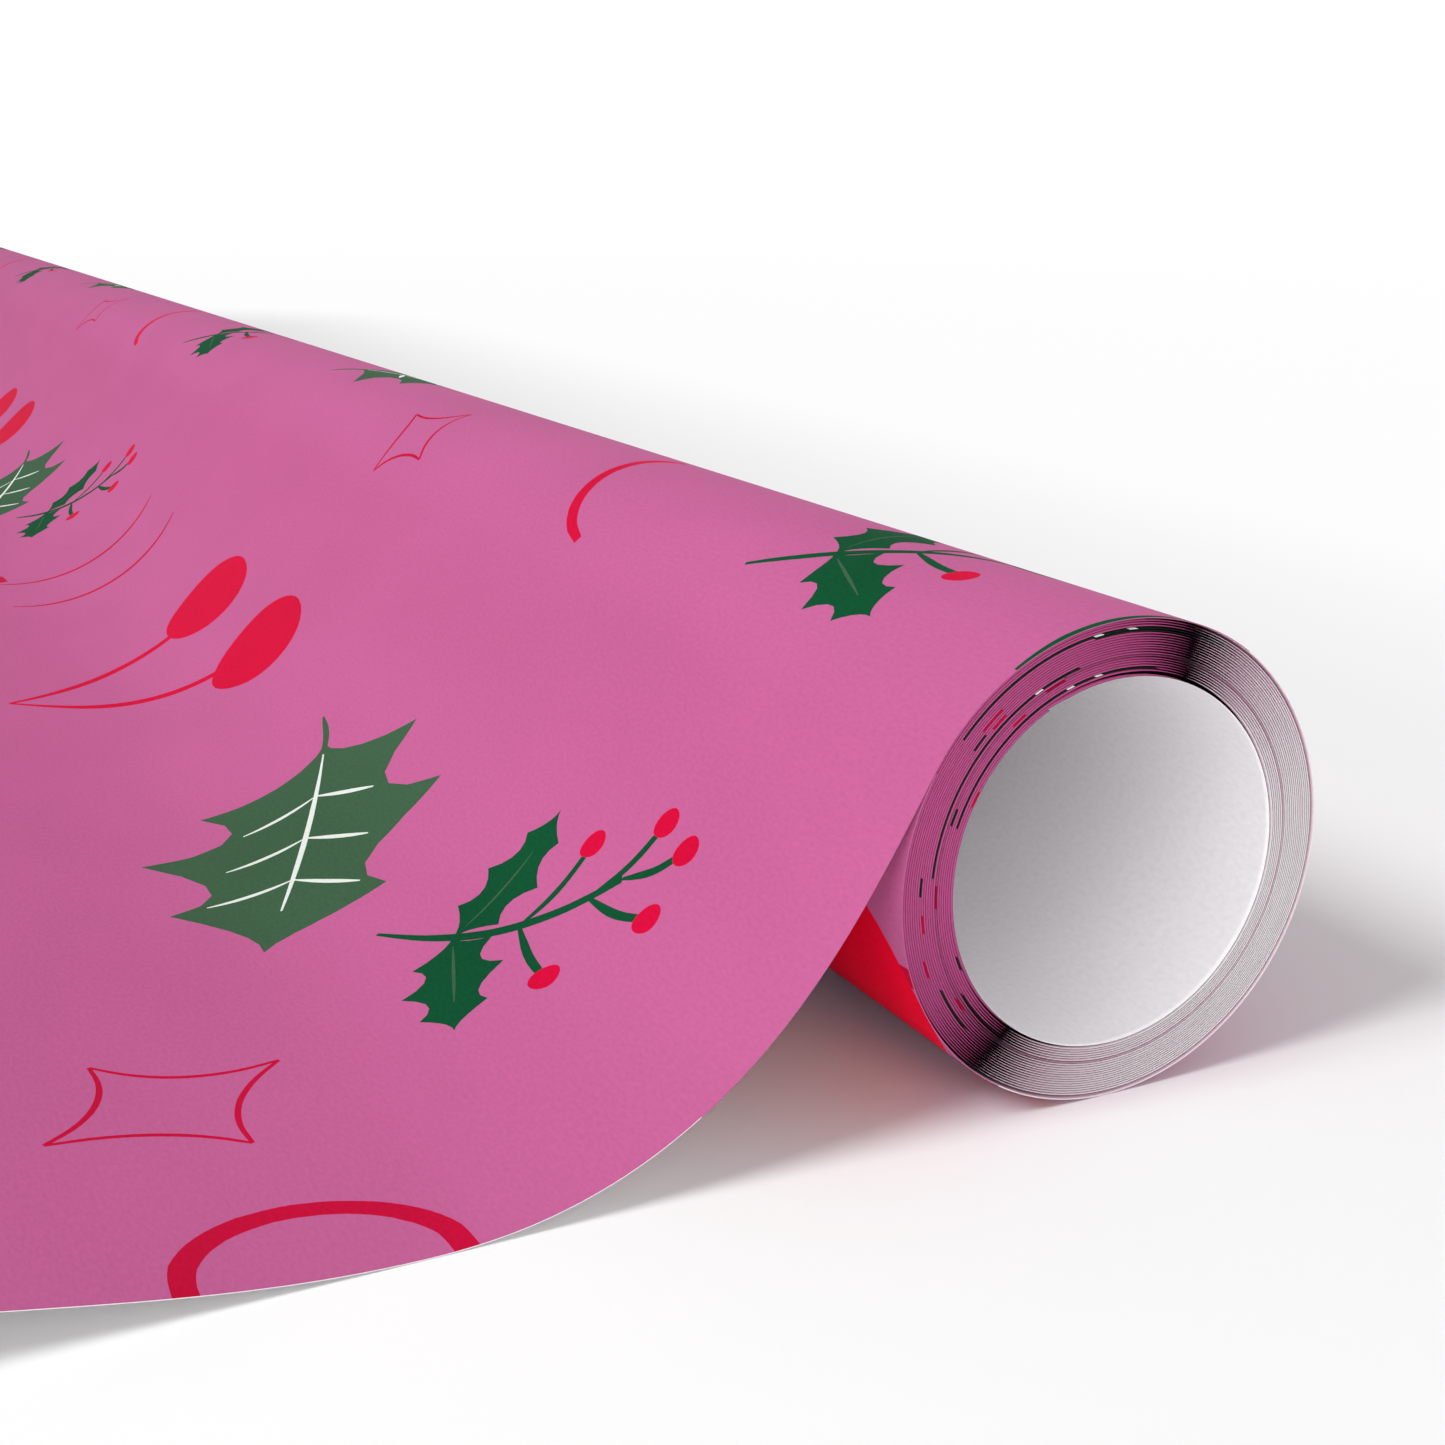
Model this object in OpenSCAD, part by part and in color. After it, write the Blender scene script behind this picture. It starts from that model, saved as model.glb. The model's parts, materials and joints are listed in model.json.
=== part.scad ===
// Roll of gift wrapping paper, wound without a core, with its free end drawn out over a table.
// One web of thin paper, printed side out: a wound coil of turns, an outermost wrap that the web
// leaves at the back, a riser down to the table, a low arch and a flat lead.
// X runs along the roll, the web leaves towards -Y, +Z is up. The origin is the middle of the
// roll's axis. Every piece is the same cross-section all along X.

/* [Web] */
// Width of the paper, which is the length of the roll
web_w = 762; // [300:1:1000]
// Thickness of the paper
paper_t = 0.07; // [0.05:0.01:0.1]

/* [Coil] */
// Outer radius of the roll where the web leaves it
roll_r = 20; // [18:0.5:30]
// Radius of the open hollow through the middle
hollow_r = 15.3; // [8:0.1:16]
// Number of wound turns, with the outermost wrap and the innermost turn
turn_count = 23; // [8:1:40]
// Number of innermost turns that can slip endwise out of the coil
slip_count = 8; // [2:1:20]
// Angle round the roll at which the web leaves, from +Y towards +Z
leave_a = 150; // [130:5:170]
// Angle round the roll at which the innermost turn ends
tail_a = 110; // [60:5:140]
// Opening between the innermost turn's two ends, where the next turn steps over the tail
tail_gap_a = 8; // [5:1:20]

/* [Drawn-out web] */
// How late the riser flattens out: 1 is a plain quarter cosine, more is later
riser_ease = 1.15; // [0.8:0.05:1.6]
// Length of the low arch beyond the riser's foot
arch_len = 110; // [60:1:200]
// Height of the low arch
arch_h = 6.9; // [1:0.1:15]
// Length of web that the roll can pay out, one repeat of the print
feed_len = 158.75; // [60:0.25:300]
// Length of the flat sheet beyond the paid-out length
lead_spare = 2; // [1:1:100]
// Length of the leading edge that lifts
edge_len = 60; // [20:1:120]

/* [Clearances] */
// Air inside the wrap, so that the coil turns freely in it
wrap_gap = 0.08; // [0.05:0.01:0.3]
// Air between the wrap's tail and the web that leaves over it
leave_gap = 0.06; // [0.03:0.01:0.3]
// Air between the flat sheet and the paid-out length under it
lap_gap = 0.03; // [0.02:0.01:0.2]
// Cut between two turns on different bodies, as an angle
slip_gap_a = 0.3; // [0.1:0.1:1]

/* [Hidden] */
facet_a = 6;                          // one facet of a turn
jog_a = tail_gap_a + 2;               // length of the step over the tail
riser_parts = 2;                      // spans of the riser and of the arch, a node each
riser_steps = 16 * riser_parts;
arch_parts = 4;
arch_steps = 11 * arch_parts;
ring_r = hollow_r + paper_t;          // outside of the innermost turn
wrap_end_r = roll_r - paper_t - leave_gap;
table_z = -wrap_radius(leave_a + 90);   // the wrap rests on the table by its lowest line
coil_r = wrap_end_r - paper_t - wrap_gap;
tail_phi = leave_a - tail_a;          // turned angle from the leaving point to the tail
second_phi = 360 + tail_phi + 360;    // end of the second turn
coil_end_phi = second_phi + 360 * (turn_count - 3);
pitch = (coil_r - ring_r) / ((coil_end_phi - 360) / 360 + 1);
first_slip = turn_count - slip_count + 1;

function two_digits(k) = k < 10 ? str("0", k) : str(k);
function turn_name(k) = str("turn_", two_digits(k));
function riser_name(k) = str("riser_", k);
function arch_name(k) = str("arch_", k);

// A point at a turned angle phi, which runs inwards from the leaving point, and a radius
function at(phi, r) = [r * cos(leave_a - phi), r * sin(leave_a - phi)];
function ease(u) = u * u * (3 - 2 * u);
function span(from, to) = let (n = ceil((to - from) / facet_a)) [for (i = [0:n]) from + (to - from) * i / n];
function reversed(list) = [for (i = [len(list) - 1:-1:0]) list[i]];
function last(list) = list[len(list) - 1];
function share(list, k, parts) =
    let (n = (len(list) - 1) / parts) [for (i = [n * (k - 1):n * k]) list[i]];
function running(list, i = 0, sum = 0, out = []) =
    i == len(list) ? concat(out, [sum]) : running(list, i + 1, sum + list[i], concat(out, [sum]));

// Outside radius of the wrap and of the coil under it
function wrap_radius(phi) = roll_r - (roll_r - wrap_end_r) * phi / 360;
function coil_radius(phi) =
    let (wound = coil_r - pitch * (phi - 360) / 360,
         jog = ease(max(0, (phi - coil_end_phi + jog_a) / jog_a)))
    wound + (ring_r - wound) * jog;

// The riser's back, by its heading below level, scaled so that its drop ends on the table
leave_point = at(0, roll_r - paper_t);
leave_heading = leave_a - 90;
function riser_heading(u) = leave_heading * pow(max(0, cos(90 * u)), riser_ease);
riser_mid = [for (i = [0:riser_steps - 1]) riser_heading((i + 0.5) / riser_steps)];
riser_step = (leave_point[1] - table_z) / last(running([for (h = riser_mid) sin(h)]));
riser_y = running([for (h = riser_mid) -cos(h) * riser_step]);
riser_z = running([for (h = riser_mid) -sin(h) * riser_step]);
riser_back = [for (i = [0:riser_steps]) leave_point + [riser_y[i], riser_z[i]]];
riser_normals = [for (i = [0:riser_steps]) let (h = riser_heading(i / riser_steps)) [-sin(h), cos(h)]];

// The arch's back is one wave of a cosine that starts and ends flat on the table
foot_y = last(riser_back)[0];
arch_end_y = foot_y - arch_len;
arch_back = [for (i = [0:arch_steps])
    let (u = i / arch_steps) [foot_y - arch_len * u, table_z + arch_h / 2 * (1 - cos(360 * u))]];
arch_normals = [for (i = [0:arch_steps])
    let (slope = PI * arch_h / arch_len * sin(360 * i / arch_steps), n = sqrt(1 + slope * slope))
    [slope, 1] / n];

// A closed outline from a back line and the way each of its points faces
function with_face(back, normals) =
    concat(back, reversed([for (i = [0:len(back) - 1]) back[i] + paper_t * normals[i]]));

// A cross-section in Y and Z, drawn along the whole width of the web
module across_web(outline) {
    translate([-web_w / 2, 0, 0]) rotate([90, 0, 90]) linear_extrude(web_w) polygon(outline);
}

// A flat length of web between two places in Y, with its underside at z
module flat_web(from_y, to_y, z) {
    across_web([[from_y, z], [to_y, z], [to_y, z + paper_t], [from_y, z + paper_t]]);
}

module outer_wrap() {
    phis = span(0, 360);
    color("orchid") across_web(concat(
        [for (p = phis) at(p, wrap_radius(p))],
        [for (p = reversed(phis)) at(p, wrap_radius(p) - paper_t)]
    ));
}

module riser(k) {
    color("orchid") across_web(
        with_face(share(riser_back, k, riser_parts), share(riser_normals, k, riser_parts)));
}

module arch(k) {
    color("orchid") across_web(
        with_face(share(arch_back, k, arch_parts), share(arch_normals, k, arch_parts)));
}

// The web that comes next off the coil, flat on the table under the laid sheet
module next_length() {
    color("plum") flat_web(arch_end_y, arch_end_y - feed_len, table_z);
}

sheet_z = table_z + paper_t + lap_gap;
edge_y = arch_end_y - feed_len - lead_spare;

module laid_sheet() {
    color("orchid") flat_web(arch_end_y, edge_y, sheet_z);
}

module leading_edge() {
    color("hotpink") flat_web(edge_y, edge_y - edge_len, sheet_z);
}

// Turned angles at which turn k starts and ends; the first slipping turn is cut clear of the coil
function turn_from(k) = k == 2 ? 360 : second_phi + 360 * (k - 3) + (k == first_slip ? slip_gap_a : 0);
function turn_to(k) = second_phi + 360 * (k - 2);

module wound_turn(k) {
    phis = span(turn_from(k), turn_to(k));
    color(k % 2 == 0 ? "pink" : "palevioletred") across_web(concat(
        [for (p = phis) at(p, coil_radius(p))],
        [for (p = reversed(phis)) at(p, coil_radius(p) - paper_t)]
    ));
}

// The innermost turn is truly round, as it was wound on a mandrel, and its inside is the bore
module innermost_turn() {
    color("white") rotate([90, 0, 90]) rotate([0, 0, tail_a + tail_gap_a])
        translate([0, 0, -web_w / 2])
            rotate_extrude(angle = 360 - tail_gap_a, $fn = 120)
                translate([hollow_r, 0]) square([paper_t, web_w]);
}

outer_wrap();
for (k = [1:riser_parts]) riser(k);
for (k = [1:arch_parts]) arch(k);
next_length();
laid_sheet();
leading_edge();
for (k = [2:turn_count - 1]) wound_turn(k);
innermost_turn();
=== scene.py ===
import json
import math

import bpy
import numpy as np
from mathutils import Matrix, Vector, geometry, noise


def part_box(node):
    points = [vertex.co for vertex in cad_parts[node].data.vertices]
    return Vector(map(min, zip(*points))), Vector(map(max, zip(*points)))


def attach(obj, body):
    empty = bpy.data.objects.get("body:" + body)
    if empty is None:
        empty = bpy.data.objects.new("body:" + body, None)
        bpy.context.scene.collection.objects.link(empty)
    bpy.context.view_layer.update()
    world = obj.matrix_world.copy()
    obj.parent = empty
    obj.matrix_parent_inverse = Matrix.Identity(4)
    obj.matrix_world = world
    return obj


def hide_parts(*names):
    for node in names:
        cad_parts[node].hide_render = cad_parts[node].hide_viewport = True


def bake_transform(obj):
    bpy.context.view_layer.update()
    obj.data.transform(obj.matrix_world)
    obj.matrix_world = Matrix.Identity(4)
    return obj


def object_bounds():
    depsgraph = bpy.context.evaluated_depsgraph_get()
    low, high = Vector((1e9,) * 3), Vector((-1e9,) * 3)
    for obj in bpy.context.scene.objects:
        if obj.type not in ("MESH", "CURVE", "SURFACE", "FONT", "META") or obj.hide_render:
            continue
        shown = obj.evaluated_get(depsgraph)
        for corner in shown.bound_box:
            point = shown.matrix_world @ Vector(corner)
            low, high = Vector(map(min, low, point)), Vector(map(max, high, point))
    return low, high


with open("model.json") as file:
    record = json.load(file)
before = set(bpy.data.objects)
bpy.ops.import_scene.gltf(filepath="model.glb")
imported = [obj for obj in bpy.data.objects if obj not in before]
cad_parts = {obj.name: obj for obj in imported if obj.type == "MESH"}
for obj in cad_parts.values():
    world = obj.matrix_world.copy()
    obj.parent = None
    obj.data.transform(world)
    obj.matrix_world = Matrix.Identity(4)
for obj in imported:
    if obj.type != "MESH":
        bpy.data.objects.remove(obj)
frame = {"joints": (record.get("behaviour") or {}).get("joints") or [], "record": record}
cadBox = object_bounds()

mm = 0.001
record = frame["record"]
bodyNodes = record["behaviour"]["bodies"]
joints = {joint["name"]: joint for joint in frame["joints"]}
hollow = next(mount for mount in record["mounts"] if mount["name"] == "hollow")

# The web of paper, in millimetres and degrees. Angles round the roll run from +Y towards +Z, and phi
# is the angle turned inwards from the line where the web leaves the roll.
web = {
    "width": (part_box("next_length")[1].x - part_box("next_length")[0].x) / mm,
    "paper": (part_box("leading_edge")[1].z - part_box("leading_edge")[0].z) / mm,
    "rollRadius": 20.0,
    "hollowRadius": hollow["dims"]["r_mm"],
    "turns": len(bodyNodes["coil"]) + len(bodyNodes["slipping_turns"]) + 1,
    "slippingTurns": len(bodyNodes["slipping_turns"]),
    "leaveAngle": 150.0,
    "tailAngle": 110.0,
    "tailGap": 8.0,
    "jogExtra": 2.0,
    "wrapGap": 0.08,
    "leaveGap": 0.06,
    "slipGap": 0.3,
    "riserEase": 1.15,
    "archHeight": 6.9,
    "archEnd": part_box("laid_sheet")[1].y / mm,
    "sheetEnd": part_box("laid_sheet")[0].y / mm,
    "leadEnd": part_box("leading_edge")[0].y / mm,
    "nextEnd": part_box("next_length")[0].y / mm,
    "sheetLevel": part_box("laid_sheet")[0].z / mm,
    "tableLevel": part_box("next_length")[0].z / mm,
    "feed": joints["sheet_feed"]["range_m"][1] / mm,
}
paper = web["paper"]
openEnd = web["width"] / 2
wrapEndRadius = web["rollRadius"] - paper - web["leaveGap"]
coilRadius = wrapEndRadius - paper - web["wrapGap"]
ringRadius = web["hollowRadius"] + paper
secondPhi = 720 + web["leaveAngle"] - web["tailAngle"]
coilEndPhi = secondPhi + 360 * (web["turns"] - 3)
turnPitch = (coilRadius - ringRadius) / (coilEndPhi / 360)
print("web", {key: round(value, 3) for key, value in web.items()})


def linear(red, green, blue):
    return [((c / 255 + 0.055) / 1.055) ** 2.4 if c > 10 else c / 255 / 12.92 for c in (red, green, blue)]


# Camera and stage

cameraSet = {
    "lens": 49.87,
    "sensor": 36.0,
    "pastOpenEnd": 120.16,
    "side": -93.78,
    "height": 54.14,
    "looks": (-0.8636, 0.42356, -0.27349),
    "clipStart": 0.005,
    "clipEnd": 60,
}
stageSet = {
    "floorRadius": 9.0,
    "floorCorners": 96,
    "floorDrop": 0.05,
    "floorShade": 0.94,
    "fadeFrom": 0.03,
    "fadeTo": 0.2,
    "glowNear": 0.985,
    "glowFar": 1.0,
    "glowReach": 1.2,
    "skyLow": 1.0,
    "skyHigh": 0.42,
    "skyFrom": 0.16,
    "skyTo": 0.45,
}
# Soft boxes: power in watts, width, where they stand and aim in metres, and what they light if not all
lightSet = {
    "keyOnFloor": {"power": 12.2, "size": 0.5, "place": (0.46, -0.96, 0.86),
                   "aim": (0.33, -0.02, 0.0), "only": "floor"},
    "keyOnPaper": {"power": 2.6, "size": 0.5, "place": (0.2, -0.96, 0.86),
                   "aim": (0.2, -0.02, 0.0), "only": "paper"},
    "sideOnPaper": {"power": 3.2, "size": 0.8, "place": (0.85, -0.8, 0.6),
                    "aim": (0.35, 0.0, 0.0), "only": "paper"},
    "topOnPaper": {"power": 5.6, "size": 1.3, "place": (0.1, -0.15, 1.5),
                   "aim": (0.1, -0.15, 0.0), "only": "paper"},
    "front": {"power": 12.0, "size": 1.5, "place": (2.2, -0.35, 0.4), "aim": (0.38, 0.0, 0.0)},
}


def makeCamera(values):
    data = bpy.data.cameras.new("camera")
    data.lens = values["lens"]
    data.sensor_width = values["sensor"]
    data.clip_start = values["clipStart"]
    data.clip_end = values["clipEnd"]
    camera = bpy.data.objects.new("camera", data)
    camera.location = Vector((openEnd + values["pastOpenEnd"], values["side"], values["height"])) * mm
    camera.rotation_mode = "QUATERNION"
    camera.rotation_quaternion = Vector(values["looks"]).to_track_quat("-Z", "Y")
    bpy.context.scene.collection.objects.link(camera)
    bpy.context.scene.camera = camera
    bpy.context.scene.view_settings.view_transform = "Standard"


def makeStage(values):
    # White all round near the horizon and greyer overhead
    world = bpy.data.worlds.new("studio")
    world.use_nodes = True
    tree = world.node_tree
    sky = tree.nodes["Background"]
    direction = addNode(tree, "ShaderNodeTexCoord")
    parts = addNode(tree, "ShaderNodeSeparateXYZ")
    ramp = addNode(tree, "ShaderNodeMapRange", interpolation_type="SMOOTHSTEP")
    ramp.inputs["From Min"].default_value = values["skyFrom"]
    ramp.inputs["From Max"].default_value = values["skyTo"]
    ramp.inputs["To Min"].default_value = values["skyLow"]
    ramp.inputs["To Max"].default_value = values["skyHigh"]
    sky.inputs["Color"].default_value = (1, 1, 1, 1)
    tree.links.new(direction.outputs["Generated"], parts.inputs[0])
    tree.links.new(parts.outputs["Z"], ramp.inputs["Value"])
    tree.links.new(ramp.outputs["Result"], sky.inputs["Strength"])
    bpy.context.scene.world = world

    level = web["tableLevel"] - values["floorDrop"]
    angles = np.linspace(0, math.tau, values["floorCorners"] + 1)[:-1]
    rim = [Vector((math.cos(a), math.sin(a), 0)) * values["floorRadius"] for a in angles]
    mesh = bpy.data.meshes.new("floor")
    mesh.from_pydata([v + Vector((0, 0, level * mm)) for v in rim], [], [list(range(len(rim)))])
    floor = bpy.data.objects.new("floor", mesh)
    bpy.context.scene.collection.objects.link(floor)
    litGroups["floor"].objects.link(floor)
    mesh.materials.append(floorMaterial(values))


def makeLight(name, values):
    data = bpy.data.lights.new(name, "AREA")
    data.shape = "DISK"
    data.size = values["size"]
    data.energy = values["power"]
    light = bpy.data.objects.new(name, data)
    light.location = values["place"]
    light.rotation_mode = "QUATERNION"
    light.rotation_quaternion = (Vector(values["aim"]) - light.location).to_track_quat("-Z", "Y")
    bpy.context.scene.collection.objects.link(light)
    if "only" in values:
        light.light_linking.receiver_collection = litGroups[values["only"]]


def newMaterial(name):
    material = bpy.data.materials.new(name)
    material.use_nodes = True
    tree = material.node_tree
    tree.nodes.clear()
    return material, tree


def addNode(tree, kind, **settings):
    node = tree.nodes.new(kind)
    for key, value in settings.items():
        if key in node.inputs:
            node.inputs[key].default_value = value
        else:
            setattr(node, key, value)
    return node


def floorMaterial(values):
    # White card that turns into the lit background away from the object's own box
    material, tree = newMaterial("studioFloor")
    place = addNode(tree, "ShaderNodeTexCoord")
    low, high = cadBox
    middle = (low + high) / 2
    half = (high - low) / 2
    centred = addNode(tree, "ShaderNodeVectorMath", operation="SUBTRACT")
    centred.inputs[1].default_value = (middle.x, middle.y, 0)
    mirrored = addNode(tree, "ShaderNodeVectorMath", operation="ABSOLUTE")
    past = addNode(tree, "ShaderNodeVectorMath", operation="SUBTRACT")
    past.inputs[1].default_value = (half.x, half.y, 1)
    outside = addNode(tree, "ShaderNodeVectorMath", operation="MAXIMUM")
    outside.inputs[1].default_value = (0, 0, 0)
    distance = addNode(tree, "ShaderNodeVectorMath", operation="LENGTH")
    fade = addNode(tree, "ShaderNodeMapRange", interpolation_type="SMOOTHSTEP")
    fade.inputs["From Min"].default_value = values["fadeFrom"]
    fade.inputs["From Max"].default_value = values["fadeTo"]
    card = addNode(tree, "ShaderNodeBsdfDiffuse")
    card.inputs["Color"].default_value = [values["floorShade"]] * 3 + [1]
    glow = addNode(tree, "ShaderNodeEmission")
    mix = addNode(tree, "ShaderNodeMixShader")
    out = addNode(tree, "ShaderNodeOutputMaterial")
    tree.links.new(place.outputs["Object"], centred.inputs[0])
    tree.links.new(centred.outputs[0], mirrored.inputs[0])
    tree.links.new(mirrored.outputs[0], past.inputs[0])
    tree.links.new(past.outputs[0], outside.inputs[0])
    tree.links.new(outside.outputs[0], distance.inputs[0])
    tree.links.new(distance.outputs["Value"], fade.inputs["Value"])
    tree.links.new(fade.outputs["Result"], mix.inputs[0])
    brighter = addNode(tree, "ShaderNodeMapRange", interpolation_type="SMOOTHSTEP")
    brighter.inputs["From Min"].default_value = values["fadeTo"]
    brighter.inputs["From Max"].default_value = values["glowReach"]
    brighter.inputs["To Min"].default_value = values["glowNear"]
    brighter.inputs["To Max"].default_value = values["glowFar"]
    tree.links.new(distance.outputs["Value"], brighter.inputs["Value"])
    tree.links.new(brighter.outputs["Result"], glow.inputs["Strength"])
    tree.links.new(card.outputs[0], mix.inputs[1])
    tree.links.new(glow.outputs[0], mix.inputs[2])
    tree.links.new(mix.outputs[0], out.inputs["Surface"])
    return material


# Colours as red, green, blue from 0 to 255; grain and mottle are shares of the colour, grainSize and
# mottleSize are in millimetres, and bump is the fibre relief in millimetres
paperSet = {
    "printedPink": {"colour": (197, 100, 152), "grain": 0.05, "mottle": 0.025, "roughness": 0.52},
    "leafGreen": {"colour": (64, 99, 71), "grain": 0.07, "mottle": 0.05, "roughness": 0.55},
    "sprigGreen": {"colour": (14, 82, 49), "grain": 0.10, "mottle": 0.08, "roughness": 0.55},
    "berryRed": {"colour": (214, 10, 60), "grain": 0.06, "mottle": 0.05, "roughness": 0.5},
    "lineRed": {"colour": (200, 16, 60), "grain": 0.06, "mottle": 0.05, "roughness": 0.5},
    "deepRed": {"colour": (246, 10, 50), "grain": 0.06, "mottle": 0.05, "roughness": 0.5},
    "veinWhite": {"colour": (232, 240, 232), "grain": 0.04, "mottle": 0.03, "roughness": 0.6},
    "paperBack": {"colour": (249, 246, 248), "grain": 0.035, "mottle": 0.015, "roughness": 0.7},
    "cutEdge": {"colour": (226, 220, 224), "grain": 0.03, "mottle": 0.02, "roughness": 0.8},
    # Painted shade: cut edges in dark pink where the web meets the roll
    "shadedCutEdge": {"colour": (178, 100, 142), "grain": 0.05, "mottle": 0.04, "roughness": 0.8},
    "woundPink": {"colour": (198, 90, 148), "grain": 0.05, "mottle": 0.025, "roughness": 0.52},
    # Painted shade: the green ink darkened for dashes seen in the gaps between wound turns
    "shadedGreen": {"colour": (20, 46, 34), "grain": 0.1, "mottle": 0.08, "roughness": 0.55},
    # Painted shade: near-black cut edges of the wound turns, standing in for the dark gaps between them
    "shadedWoundEdge": {"colour": (38, 22, 29), "grain": 0.08, "mottle": 0.06, "roughness": 0.8},
    "woundBack": {"colour": (238, 247, 243), "grain": 0.03, "mottle": 0.02, "roughness": 0.8},
    # Painted shade for wound faces hidden between turns, past the edge strip
    "deepShade": {"colour": (34, 16, 24), "grain": 0.05, "mottle": 0.05, "roughness": 0.9},
}
grainSet = {
    "grainSize": 0.35,
    "grainDetail": 3.0,
    "fibreSize": 0.12,
    "mottleSize": 14.0,
    "softDetail": 2.0,
    "noiseLow": 0.3,
    "noiseHigh": 0.7,
    "bump": 0.02,
    "bumpStrength": 0.5,
    "stretch": 0.45,
    "gloss": 0.008,
}


def paperMaterial(name, values):
    # Fine fibre grain with broad soft mottling, laid out along the web by its own attribute
    material, tree = newMaterial(name)
    place = addNode(tree, "ShaderNodeAttribute", attribute_name="webPlace")
    squeeze = addNode(tree, "ShaderNodeMapping")
    squeeze.inputs["Scale"].default_value = (grainSet["stretch"], 1, 1)
    tree.links.new(place.outputs["Vector"], squeeze.inputs["Vector"])

    grain = addNode(tree, "ShaderNodeTexNoise", Scale=1 / (grainSet["grainSize"] * mm),
                    Detail=grainSet["grainDetail"])
    fibre = addNode(tree, "ShaderNodeTexNoise", Scale=1 / (grainSet["fibreSize"] * mm),
                    Detail=grainSet["softDetail"])
    mottle = addNode(tree, "ShaderNodeTexNoise", Scale=1 / (grainSet["mottleSize"] * mm),
                     Detail=grainSet["softDetail"])
    for texture in (grain, fibre, mottle):
        tree.links.new(squeeze.outputs[0], texture.inputs["Vector"])

    base = Vector(linear(*values["colour"]))
    colour = None
    for texture, share in ((grain, values["grain"]), (mottle, values["mottle"])):
        spread = addNode(tree, "ShaderNodeMapRange")
        spread.inputs["From Min"].default_value = grainSet["noiseLow"]
        spread.inputs["From Max"].default_value = grainSet["noiseHigh"]
        spread.inputs["To Min"].default_value = 1 - share
        spread.inputs["To Max"].default_value = 1 + share
        tree.links.new(texture.outputs["Fac"], spread.inputs["Value"])
        tinted = addNode(tree, "ShaderNodeVectorMath", operation="SCALE")
        if colour is None:
            tinted.inputs[0].default_value = base
        else:
            tree.links.new(colour.outputs[0], tinted.inputs[0])
        tree.links.new(spread.outputs["Result"], tinted.inputs["Scale"])
        colour = tinted

    relief = addNode(tree, "ShaderNodeBump", Strength=grainSet["bumpStrength"],
                     Distance=grainSet["bump"] * mm)
    tree.links.new(fibre.outputs["Fac"], relief.inputs["Height"])
    shader = addNode(tree, "ShaderNodeBsdfPrincipled", Roughness=values["roughness"])
    shader.inputs["Specular IOR Level"].default_value = grainSet["gloss"]
    out = addNode(tree, "ShaderNodeOutputMaterial")
    tree.links.new(colour.outputs[0], shader.inputs["Base Color"])
    tree.links.new(relief.outputs["Normal"], shader.inputs["Normal"])
    tree.links.new(shader.outputs[0], out.inputs["Surface"])
    return material


litGroups = {group: bpy.data.collections.new(group + "Lit") for group in ("floor", "paper")}
makeCamera(cameraSet)
makeStage(stageSet)
for lightName, lightValues in lightSet.items():
    makeLight(lightName, lightValues)
materials = {name: paperMaterial(name, values) for name, values in paperSet.items()}
inkNames = ["printedPink", "leafGreen", "sprigGreen", "berryRed", "lineRed", "deepRed", "veinWhite"]
print("camera, stage and", len(materials), "paper materials")


# Drawing the print. Every point is (x, s): x from the open end, negative inwards, and s along the
# web from the leaving line, positive towards the lead, both in millimetres.

def curveThrough(points, steps=6):
    # A smooth line through a few points
    line = [Vector(p) for p in points]
    line = [line[0] * 2 - line[1]] + line + [line[-1] * 2 - line[-2]]
    out = []
    for a, b, c, d in zip(line, line[1:], line[2:], line[3:]):
        for i in range(steps):
            t = i / steps
            out.append(0.5 * (2 * b + (c - a) * t + (2 * a - 5 * b + 4 * c - d) * t * t
                              + (3 * b - a - 3 * c + d) * t ** 3))
    return out + [line[-2]]


# How fast a brush line swells, and how uneven lines and fruits are
brushSet = {"ramp": 2.2, "leftDrift": 1.5, "rightDrift": 7.5, "fruitDrift": 3.1, "uneven": 0.05,
            "taper": 0.12}


def stroke(points, wide, start=0.35, end=0.35, steps=6, rough=0.08):
    # A brush line that swells in the middle and has a slightly dry edge
    line = curveThrough(points, steps)
    left = []
    right = []
    for i, p in enumerate(line):
        along = (line[min(i + 1, len(line) - 1)] - line[max(i - 1, 0)]).normalized()
        across = Vector((-along.y, along.x))
        t = i / (len(line) - 1)
        swell = (start + (1 - start) * math.sin(min(1, t * brushSet["ramp"]) * math.pi / 2)
                 - (1 - end) * (1 - math.sin(min(1, (1 - t) * brushSet["ramp"]) * math.pi / 2)))
        half = wide / 2 * swell
        leftNoise = noise.noise(Vector((p.x, p.y, brushSet["leftDrift"])))
        left.append(p + across * half * (1 + rough * leftNoise))
        rightNoise = noise.noise(Vector((p.x, p.y, brushSet["rightDrift"])))
        right.append(p - across * half * (1 + rough * rightNoise))
    return left + right[::-1]


def oval(x, s, long, wide, angle, corners=20):
    # A berry, a little rounder at one end
    out = []
    for i in range(corners):
        a = math.tau * i / corners
        drift = noise.noise(Vector((x + math.cos(a), s + math.sin(a), brushSet["fruitDrift"])))
        reach = 1 + brushSet["uneven"] * drift
        u = long / 2 * math.cos(a) * reach
        v = wide / 2 * math.sin(a) * (1 + brushSet["taper"] * math.cos(a)) * reach
        out.append(Vector((x, s)) + turned(u, v, angle))
    return out


def turned(u, v, angle):
    a = math.radians(angle)
    return Vector((u * math.cos(a) - v * math.sin(a), u * math.sin(a) + v * math.cos(a)))


# Spikes as (share of the length, share of the half width), how hollow the arcs between them are, and
# where the side veins start
leafSet = {"spikes": [(0.2, 0.9), (0.5, 1.1), (0.8, 0.7)], "hollow": 0.8, "veins": (0.25, 0.45, 0.65)}


def onLeaf(base, tip, wide):
    # Gives places on a leaf by their shares of its length and half width
    base = Vector(base)
    along = Vector(tip) - base
    across = Vector((-along.y, along.x)).normalized() * wide / 2
    return lambda t, h: base + along * t + across * h


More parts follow.
